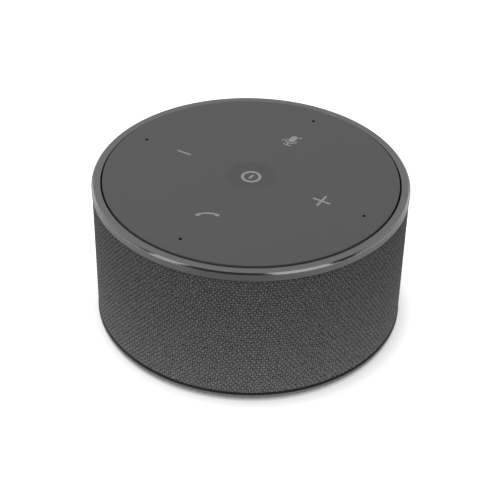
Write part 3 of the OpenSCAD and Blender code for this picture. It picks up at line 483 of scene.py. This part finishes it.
soft_edges = (loop_at(bm, ring_r, ring_top - ring_chamfer) + loop_at(bm, ring_r - ring_chamfer, ring_top)
              + loop_at(bm, ring_bore_r, ring_top))
bmesh.ops.bevel(bm, geom=soft_edges, offset=ring_soft_edge, offset_type="OFFSET", segments=3, profile=0.5,
                affect="EDGES", material=-1)
on_top, on_chamfer, on_wall, in_bore = range(4)
for face in bm.faces:
    middle = face.calc_center_median()
    if middle.xy.length < ring_r - ring_chamfer:
        face.material_index = on_top if middle.z > ring_top - ring_soft_edge else in_bore
    else:
        face.material_index = on_chamfer if middle.z > ring_top - ring_chamfer else on_wall
# The polished chamfer's dark tone is a painted dark reflection.
chamfer_dark_reflection = grained(
    "chamfer_dark_reflection", grey(40), grey(44), rough=(0.1, 0.14), grain_size=1 * mm, grain_depth=0.0005 * mm,
    patch_size=5 * mm, metallic=1.0)
# The wall is a darker copy of the satin top: painted shade.
shaded_satin_wall = grained(
    "shaded_satin_wall", grey(60), grey(66), rough=(0.46, 0.52), grain_size=0.2 * mm, grain_depth=0.001 * mm,
    patch_size=4 * mm, metallic=1.0)
# Black for the ring's bore and ledge and for the sound-hole walls: painted shade in the gap and the holes.
painted_shade_black = grained(
    "painted_shade_black", grey(14), grey(20), rough=(0.65, 0.75), grain_size=0.2 * mm, grain_depth=0.002 * mm,
    patch_size=3 * mm, gloss=0.1)
finished_ring = finished_piece(
    "finished_ring", bm, make_satin_ring(), chamfer_dark_reflection, shaded_satin_wall, painted_shade_black)
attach(finished_ring, "housing")
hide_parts("trim_ring")

# Top panel: one soft skin, moulded over the carrier, with a shallow dish at the power key.
# Over each key it thins to a membrane that gives with the key. The walls of its four sound holes are
# painted black as shade.
dish_r = 8.5 * mm
dish_depth = 0.25 * mm


def make_soft_skin():
    """Matte soft-touch rubber with a very fine grain, and a painted shade that darkens the dish."""
    dish_shade_outside = 0.4 * mm
    dish_shade_inside = 0.6 * mm
    grain_depth = 0.004 * mm
    material, nodes, links, shader = blank_material("soft_skin")
    grain = place_grain(nodes, grain_size=0.16 * mm, patch_size=14 * mm)
    plain = mix_colours(nodes, links, grain.outputs["Patches"], grey(80), grey(85))
    # Painted shade: the recessed dish is darker.
    painted_dish_shade = nodes.new("ShaderNodeMapRange")
    painted_dish_shade.interpolation_type = "SMOOTHSTEP"
    painted_dish_shade.inputs["From Min"].default_value = dish_r + dish_shade_outside
    painted_dish_shade.inputs["From Max"].default_value = dish_r - dish_shade_inside
    links.new(reach_from_axis(nodes, links), painted_dish_shade.inputs["Value"])
    tone = mix_colours(nodes, links, painted_dish_shade.outputs["Result"], plain, grey(78))
    links.new(tone, shader.inputs["Base Color"])
    links.new(spread_values(nodes, links, grain.outputs["Patches"], 0.56, 0.66), shader.inputs["Roughness"])
    shader.inputs["Specular IOR Level"].default_value = 0.3
    dent(nodes, links, shader, grain.outputs["Height"], grain_depth)
    return material


soft_skin = make_soft_skin()
skin_low, skin_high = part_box("touch_skin")
skin_r = skin_high.x
skin_top = skin_high.z
skin_round = 0.15 * mm
skin_support = 0.05 * mm
rim_steps = 6
membrane_r = 6.4 * mm
key_gap = 0.05 * mm
membrane_z0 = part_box("power_key")[1].z + key_gap
sound_hole_r = 0.56 * mm
sound_hole_lead = 0.04 * mm
sound_hole_c = 41.5 * mm
hole_steps = 32
round_steps = 96


def dish_height(radius):
    """Height of the dished skin at a distance from the centre of the panel."""
    return skin_top - dish_depth * max(0, 1 - (radius / dish_r) ** 2)


def fill_level(bm, height):
    """Fills the sheet between all open edges at one height."""
    rims = [edge for edge in bm.edges if edge.is_boundary
            and all(abs(vert.co.z - height) < near for vert in edge.verts)]
    bmesh.ops.triangle_fill(bm, edges=rims, use_beauty=True)


key_names = ("power", "volume_up", "mute", "volume_down", "call")
key_centres = {}
for key_name in key_names:
    key_low, key_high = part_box(key_name + "_key")
    key_centres[key_name] = (key_low + key_high) / 2

bm = bmesh.new()
rim_r = skin_r - skin_round
turn(bm, [(rim_r - 2 * skin_support, skin_top), (rim_r - skin_support, skin_top)]
     + arc(rim_r, skin_top - skin_round, skin_round, 90, 0, rim_steps)
     + [(skin_r, skin_low.z)], fine_steps)
dish_rings = 8
dish_profile = [(dish_r + skin_support, skin_top)]
for ring in range(dish_rings + 1):
    ring_radius = dish_r + (membrane_r - dish_r) * ring / dish_rings
    dish_profile.append((ring_radius, dish_height(ring_radius)))
turn(bm, dish_profile + [(membrane_r, skin_low.z)], round_steps)
flat_key_names = key_names[1:]
for key_name in flat_key_names:
    turn(bm, [(membrane_r, skin_top), (membrane_r, skin_low.z)], round_steps, key_centres[key_name].xy)
hole_centres = [Matrix.Rotation(quarter * math.pi / 2, 2) @ Vector((sound_hole_c, 0)) for quarter in range(4)]
for hole_at in hole_centres:
    turn(bm, [(sound_hole_r + sound_hole_lead, skin_top), (sound_hole_r, skin_top - sound_hole_lead),
              (sound_hole_r, skin_low.z)], hole_steps, hole_at)
bmesh.ops.remove_doubles(bm, verts=bm.verts, dist=weld_reach)
fill_level(bm, skin_top)
fill_level(bm, skin_low.z)
close_up(bm)
in_hole = 1
for face in bm.faces:
    middle = face.calc_center_median()
    if any((middle.xy - hole_at).length < sound_hole_r for hole_at in hole_centres):
        face.material_index = in_hole
top_panel = finished_piece("top_panel", bm, soft_skin, painted_shade_black)
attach(top_panel, "housing")
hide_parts("touch_skin")

# Membranes: the thin places of the skin over the keys. A dish of a hundredth of a millimetre tells the rim
# from the middle.
membrane_flat_r = 4.6 * mm
membrane_dip = 0.012 * mm
membrane_rings = 10


def membrane_height(key_name, radius):
    """Height of a membrane's upper face at a distance from the centre of its key."""
    if key_name == "power":
        return dish_height(radius)
    inwards = min(1, max(0, (membrane_r - radius) / (membrane_r - membrane_flat_r)))
    return skin_top - membrane_dip * inwards


for key_name in key_names:
    bm = bmesh.new()
    upper = []
    for ring in range(membrane_rings + 1):
        ring_radius = membrane_r * (1 - ring / membrane_rings)
        upper.append((ring_radius, membrane_height(key_name, ring_radius)))
    turn(bm, [(0, membrane_z0), (membrane_r, membrane_z0)] + upper, round_steps, key_centres[key_name].xy)
    close_up(bm)
    membrane = finished_piece(key_name + "_membrane", bm, soft_skin)
    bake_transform(membrane)

# Symbols: pale ink, screen printed on the membranes, so each goes down with its key.
# They are the plain signs for power, louder, softer, call and microphone off.
ink_t = 0.012 * mm
ink = grained(
    "pale_ink", grey(142), grey(150), rough=(0.5, 0.6), grain_size=0.2 * mm, grain_depth=0.002 * mm,
    patch_size=1 * mm)


def bar(bm, start, end, width):
    """A flat bar of ink between two points."""
    along = (Vector(end) - Vector(start)).normalized()
    across = Vector((-along.y, along.x)) * width / 2
    corners = [Vector(start) - across, Vector(end) - across, Vector(end) + across, Vector(start) + across]
    bm.faces.new([bm.verts.new((corner.x, corner.y, 0)) for corner in corners])


def outline(bm, points):
    """A flat patch of ink inside an outline."""
    bm.faces.new([bm.verts.new((x, y, 0)) for x, y in points])


def bow(bm, centre, radius, width, start, end, steps=24):
    """A flat bow of ink round a centre, from one angle to another in degrees."""
    inner = bm.verts.new((centre[0] + radius - width / 2, centre[1], 0))
    outer = bm.verts.new((centre[0] + radius + width / 2, centre[1], 0))
    edge = bm.edges.new((inner, outer))
    pivot = (centre[0], centre[1], 0)
    start_turn = Matrix.Rotation(math.radians(start), 3, "Z")
    bmesh.ops.rotate(bm, verts=[inner, outer], cent=pivot, matrix=start_turn)
    bmesh.ops.spin(bm, geom=[inner, outer, edge], cent=pivot, axis=(0, 0, 1), angle=math.radians(end - start),
                   steps=steps, use_merge=abs(end - start) >= 360)


def draw_power(bm):
    """A ring with a short bar in its middle."""
    circle_r = 2.87 * mm
    circle_line = 0.98 * mm
    circle_steps = 64
    bar_half = 1.25 * mm
    bar_line = 0.88 * mm
    bow(bm, (0, 0), circle_r, circle_line, 0, 360, circle_steps)
    bar(bm, (0, -bar_half), (0, bar_half), bar_line)


def draw_volume_up(bm):
    """A plus sign."""
    arm = 3.15 * mm
    half_line = 0.395 * mm
    end_of_arm = [(arm, -half_line), (arm, half_line), (half_line, half_line)]
    quarter_turns = [Matrix.Rotation(math.pi / 2 * quarter, 2) for quarter in range(4)]
    outline(bm, [quarter_turn @ Vector(point) for quarter_turn in quarter_turns for point in end_of_arm])


def draw_volume_down(bm):
    """A minus sign."""
    arm = 2.7 * mm
    line = 0.7 * mm
    bar(bm, (-arm, 0), (arm, 0), line)


def draw_call(bm):
    """A handset: a bow with a thick pad at each end, turned so that it reads level from the camera's side."""
    centre = (0, -5.5 * mm)
    grip_in = 6.12 * mm
    grip_out = 6.88 * mm
    pad_in = 5.75 * mm
    pad_out = 6.93 * mm
    right_tip, right_neck, left_neck, left_tip = 55, 68, 112, 125
    pad_steps = 8
    grip_steps = 24
    outline(bm, arc(*centre, pad_out, right_tip, right_neck, pad_steps)
            + arc(*centre, grip_out, right_neck, left_neck, grip_steps)
            + arc(*centre, pad_out, left_neck, left_tip, pad_steps)
            + arc(*centre, pad_in, left_tip, left_neck, pad_steps)
            + arc(*centre, grip_in, left_neck, right_neck, grip_steps)
            + arc(*centre, pad_in, right_neck, right_tip, pad_steps))
    bmesh.ops.rotate(bm, verts=bm.verts, cent=(0, 0, 0), matrix=Matrix.Rotation(view_azimuth, 3, "Z"))


def draw_mute(bm):
    """A microphone in its cradle, with a stroke across it."""
    head_r = 1.15 * mm
    head_top = 1.9 * mm
    head_foot = 0.1 * mm
    head_steps = 16
    cradle_r = 2.0 * mm
    line = 0.55 * mm
    stand_y = -3.25 * mm
    stand_half = 1.4 * mm
    low_stroke = ((-2.9 * mm, -1.6 * mm), (-1.3 * mm, 0))
    high_stroke = ((1.3 * mm, 2.4 * mm), (2.4 * mm, 3.2 * mm))
    outline(bm, arc(0, head_top, head_r, 0, 180, head_steps)
            + arc(0, head_foot, head_r, 180, 360, head_steps))
    bow(bm, (0, head_foot), cradle_r, line, 180, 360)
    bar(bm, (0, stand_y + line / 2), (0, head_foot - cradle_r - line / 2), line)
    bar(bm, (-stand_half, stand_y), (stand_half, stand_y), line)
    bar(bm, *low_stroke, line)
    bar(bm, *high_stroke, line)


drawings = {"power": draw_power, "volume_up": draw_volume_up, "mute": draw_mute,
            "volume_down": draw_volume_down, "call": draw_call}
for key_name in key_names:
    bm = bmesh.new()
    drawings[key_name](bm)
    bmesh.ops.remove_doubles(bm, verts=bm.verts, dist=weld_reach)
    raised = bmesh.ops.extrude_face_region(bm, geom=bm.faces[:], use_keep_orig=True)
    for vert in bm.verts:
        vert.co.z = membrane_height(key_name, vert.co.xy.length)
    for vert in (part for part in raised["geom"] if isinstance(part, bmesh.types.BMVert)):
        vert.co.z += ink_t
    bmesh.ops.translate(bm, verts=bm.verts, vec=(key_centres[key_name].x, key_centres[key_name].y, 0))
    bmesh.ops.recalc_face_normals(bm, faces=bm.faces)
    symbol = finished_piece(key_name + "_symbol", bm, ink)
    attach(symbol, key_name + "_button")

# Cloth: a sleeve of plain-woven grey yarn, stretched over the drum and tucked in at both ends.
# Its yarns rise and dip over each other, so the sheet is a grid that follows them.
cloth_low, cloth_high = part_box("cloth_sleeve")
cloth_r = cloth_high.x
cloth_h = cloth_high.z - cloth_low.z
warp_pitch = 0.79 * mm
weft_pitch = 0.96 * mm
warp_lean = 6
yarn_rise = 0.16 * mm
tuck = 0.5 * mm
collar_lap = 1.1 * mm
warp_yarns = 2 * round(math.tau * cloth_r / warp_pitch / 2)
weft_yarns = round(cloth_h / weft_pitch)
port_low, port_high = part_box("port_bezel")
port_centre = (port_low + port_high) / 2


def make_woven_cloth():
    """Grey yarn with loose fibres and painted shade: bright where a yarn rises, dark where it dips and in the
    holes between yarns.
    """
    crossing_share = 0.5
    row_share = 0.34
    column_share = 0.3
    fibre_share = 0.45
    hole_level = -0.55
    crest_level = 0.75
    slack_size = 1.3 * mm
    fibre_size = 0.3 * mm
    yarn_stray = 1.2
    yarn_relief = 0.03 * mm
    material, nodes, links, shader = blank_material("woven_cloth")
    lie = nodes.new("ShaderNodeUVMap")
    lie.uv_map = "weave"
    split = nodes.new("ShaderNodeSeparateXYZ")
    links.new(lie.outputs["UV"], split.inputs["Vector"])

    def worked(operation, one, other):
        """The result of a sum, a product or a cosine of two values."""
        step = nodes.new("ShaderNodeMath")
        step.operation = operation
        for place, value in enumerate((one, other)):
            if isinstance(value, (int, float)):
                step.inputs[place].default_value = value
            else:
                links.new(value, step.inputs[place])
        return step.outputs["Value"]

    place = nodes.new("ShaderNodeTexCoord")
    slack = nodes.new("ShaderNodeTexNoise")
    slack.inputs["Scale"].default_value = 1 / slack_size
    slack.inputs["Detail"].default_value = 1
    links.new(place.outputs["Object"], slack.inputs["Vector"])
    sway = nodes.new("ShaderNodeSeparateColor")
    links.new(slack.outputs["Color"], sway.inputs["Color"])

    def wave(count_round, count_high, stray, channel="Red"):
        """A wave of so many half turns round the drum and up it, which strays a little, as yarns do."""
        along = worked("MULTIPLY", split.outputs["X"], count_round * math.pi)
        up = worked("MULTIPLY", split.outputs["Y"], count_high * math.pi)
        aside = worked("MULTIPLY", sway.outputs[channel], stray * math.pi)
        return worked("COSINE", worked("ADD", worked("ADD", along, up), aside), 0)

    warp = wave(warp_yarns, -warp_lean, yarn_stray)
    weft = wave(0, weft_yarns, yarn_stray, "Green")
    crossings = worked("MULTIPLY", warp, weft)
    columns = wave(2 * warp_yarns, -2 * warp_lean, 2 * yarn_stray)
    rows = wave(0, 2 * weft_yarns, 2 * yarn_stray, "Green")
    fibres = nodes.new("ShaderNodeTexVoronoi")
    fibres.inputs["Scale"].default_value = 1 / fibre_size
    links.new(place.outputs["Object"], fibres.inputs["Vector"])
    fibre_tone = nodes.new("ShaderNodeSeparateColor")
    links.new(fibres.outputs["Color"], fibre_tone.inputs["Color"])
    lines = worked("ADD", worked("MULTIPLY", rows, row_share), worked("MULTIPLY", columns, column_share))
    weave = worked("ADD", worked("MULTIPLY", crossings, crossing_share), lines)
    rise = worked("ADD", weave, worked("MULTIPLY", fibre_tone.outputs["Red"], fibre_share))
    mask = nodes.new("ShaderNodeMapRange")
    mask.inputs["From Min"].default_value = hole_level
    mask.inputs["From Max"].default_value = crest_level
    links.new(rise, mask.inputs["Value"])
    fuzz = place_grain(nodes, grain_size=0.2 * mm, patch_size=2.5 * mm)
    yarn = mix_colours(nodes, links, fuzz.outputs["Patches"], grey(89), grey(100))
    # Painted shade: the yarn darkens towards the dips and the holes of the weave.
    links.new(mix_colours(nodes, links, mask.outputs["Result"], grey(8), yarn), shader.inputs["Base Color"])
    shader.inputs["Roughness"].default_value = 0.85
    shader.inputs["Specular IOR Level"].default_value = 0.02
    dent(nodes, links, shader, rise, yarn_relief)
    return material


def inside_port(point):
    """Whether a point of the cloth lies behind the collar of the port."""
    half_h = (port_high.z - port_low.z) / 2 - collar_lap
    half_w = (port_high.x - port_low.x) / 2 - collar_lap
    off_x = max(0, abs(point.x - port_centre.x) - (half_w - half_h))
    return point.y > 0 and math.hypot(off_x, point.z - port_centre.z) < half_h


bm = bmesh.new()
bm.loops.layers.uv.new("weave")
grid_columns = 2 * warp_yarns
grid_rows = 2 * weft_yarns
grid_half = 0.5
bmesh.ops.create_grid(bm, x_segments=grid_columns, y_segments=grid_rows, size=grid_half, calc_uvs=True)
for vert in bm.verts:
    column = round((vert.co.x + grid_half) * grid_columns)
    row = round((vert.co.y + grid_half) * grid_rows)
    warp_turn = math.pi * (warp_yarns * column / grid_columns - warp_lean * row / grid_rows)
    weft_turn = math.pi * weft_yarns * row / grid_rows
    sink = yarn_rise / 2 * (1 - math.cos(warp_turn) * math.cos(weft_turn))
    if row in (0, grid_rows):
        sink = tuck
    angle = math.tau * column / grid_columns
    height = cloth_low.z + cloth_h * row / grid_rows
    vert.co = ((cloth_r - sink) * math.cos(angle), (cloth_r - sink) * math.sin(angle), height)
behind_collar = [face for face in bm.faces if inside_port(face.calc_center_median())]
bmesh.ops.delete(bm, geom=behind_collar, context="FACES")
close_up(bm)
cloth_wrap = finished_piece("cloth_wrap", bm, make_woven_cloth(), crease=math.pi)
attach(cloth_wrap, "housing")
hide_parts("cloth_sleeve")


# Studio: a white table that runs on into a white room, under one broad lamp. The table throws light up at
# the cloth. Six more lamps stand round the front and the sides, and light the trim ring's metal alone.
def white_for_lens(tree, lit, strength):
    """One strength for rays that the lens or a gloss sends out, and another, lit, for all the other rays."""
    path = tree.nodes.new("ShaderNodeLightPath")
    seen = path.outputs["Is Camera Ray"]
    for name in ("Is Glossy Ray", "Is Transmission Ray"):
        either = tree.nodes.new("ShaderNodeMath")
        either.operation = "MAXIMUM"
        tree.links.new(seen, either.inputs[0])
        tree.links.new(path.outputs[name], either.inputs[1])
        seen = either.outputs["Value"]
    share = tree.nodes.new("ShaderNodeMapRange")
    share.inputs["To Min"].default_value = lit
    share.inputs["To Max"].default_value = strength
    tree.links.new(seen, share.inputs["Value"])
    return share.outputs["Result"]


room_light = 0.6
room = bpy.data.worlds.new("room")
room.use_nodes = True
bpy.context.scene.world = room
room_shader = room.node_tree.nodes["Background"]
room_shader.inputs["Color"].default_value = (1, 1, 1, 1)
room.node_tree.links.new(white_for_lens(room.node_tree, room_light, 1), room_shader.inputs["Strength"])

table_r = 3.0
table_white = 0.8
table_strength = 0.75
table_steps = 96
contact_reach = 8 * mm
bm = bmesh.new()
bmesh.ops.create_circle(bm, cap_ends=True, segments=table_steps, radius=table_r)
table_mesh = bpy.data.meshes.new("table")
bm.to_mesh(table_mesh)
bm.free()
table = bpy.data.objects.new("table", table_mesh)
bpy.context.scene.collection.objects.link(table)
table_finish = bpy.data.materials.new("table_white")
table_finish.use_nodes = True
table_shader = table_finish.node_tree.nodes["Principled BSDF"]
table_shader.inputs["Base Color"].default_value = (table_white, table_white, table_white, 1)
table_shader.inputs["Roughness"].default_value = 0.9
table_shader.inputs["Specular IOR Level"].default_value = 0
# Painted contact shadow: the table's glow for the lens is darkened by ambient occlusion near the object.
contact = table_finish.node_tree.nodes.new("ShaderNodeAmbientOcclusion")
contact.inputs["Distance"].default_value = contact_reach
table_finish.node_tree.links.new(contact.outputs["Color"], table_shader.inputs["Emission Color"])
table_finish.node_tree.links.new(white_for_lens(table_finish.node_tree, 0, table_strength),
                                 table_shader.inputs["Emission Strength"])
table_mesh.materials.append(table_finish)

streak_receivers = bpy.data.collections.new("streak_receivers")
streak_receivers.objects.link(finished_ring)


def lamp(name, azimuth, elevation, distance, width, height, watts, gloss_only=False):
    """A flat lamp that faces the object, placed by its direction from the camera's own side, in degrees.

    A lamp for gloss alone shows in the trim ring's metal and lights nothing else.
    """
    light = bpy.data.lights.new(name, "AREA")
    light.shape = "RECTANGLE"
    light.size = width
    light.size_y = height
    light.energy = watts
    placed = bpy.data.objects.new(name, light)
    bpy.context.scene.collection.objects.link(placed)
    turn_by = view_azimuth + math.radians(azimuth)
    lift = math.radians(elevation)
    outwards = Vector((
        math.sin(turn_by) * math.cos(lift),
        -math.cos(turn_by) * math.cos(lift),
        math.sin(lift),
    ))
    placed.location = outwards * distance + Vector((0, 0, ring_top))
    placed.rotation_euler = outwards.to_track_quat("Z", "Y").to_euler()
    placed.visible_camera = False
    placed.visible_diffuse = not gloss_only
    if gloss_only:
        placed.light_linking.receiver_collection = streak_receivers


lamp("overhead_lamp", azimuth=-105, elevation=64, distance=0.9, width=0.9, height=0.9, watts=2.8)
lamp("left_streak", azimuth=-62, elevation=33, distance=0.8, width=0.24, height=0.8, watts=8,
     gloss_only=True)
lamp("right_streak", azimuth=40, elevation=33, distance=0.8, width=0.46, height=0.8, watts=17,
     gloss_only=True)
lamp("left_low", azimuth=-70, elevation=4, distance=0.6, width=0.75, height=0.25, watts=11.25,
     gloss_only=True)
lamp("right_low", azimuth=70, elevation=4, distance=0.6, width=0.75, height=0.25, watts=11.25,
     gloss_only=True)
lamp("left_rim", azimuth=-112, elevation=20, distance=0.8, width=0.95, height=0.56, watts=9,
     gloss_only=True)
lamp("right_rim", azimuth=112, elevation=20, distance=0.8, width=0.95, height=0.56, watts=9,
     gloss_only=True)

glow_r = 110 * mm
glow_lift = 0.3 * mm
glow_watts = 0.23
glow = bpy.data.lights.new("table_glow", "AREA")
glow.shape = "DISK"
glow.size = 2 * glow_r
glow.energy = glow_watts
glow_panel = bpy.data.objects.new("table_glow", glow)
bpy.context.scene.collection.objects.link(glow_panel)
glow_panel.location = (0, 0, glow_lift)
glow_panel.rotation_euler = (math.pi, 0, 0)
glow_panel.visible_camera = False
glow_panel.visible_glossy = False
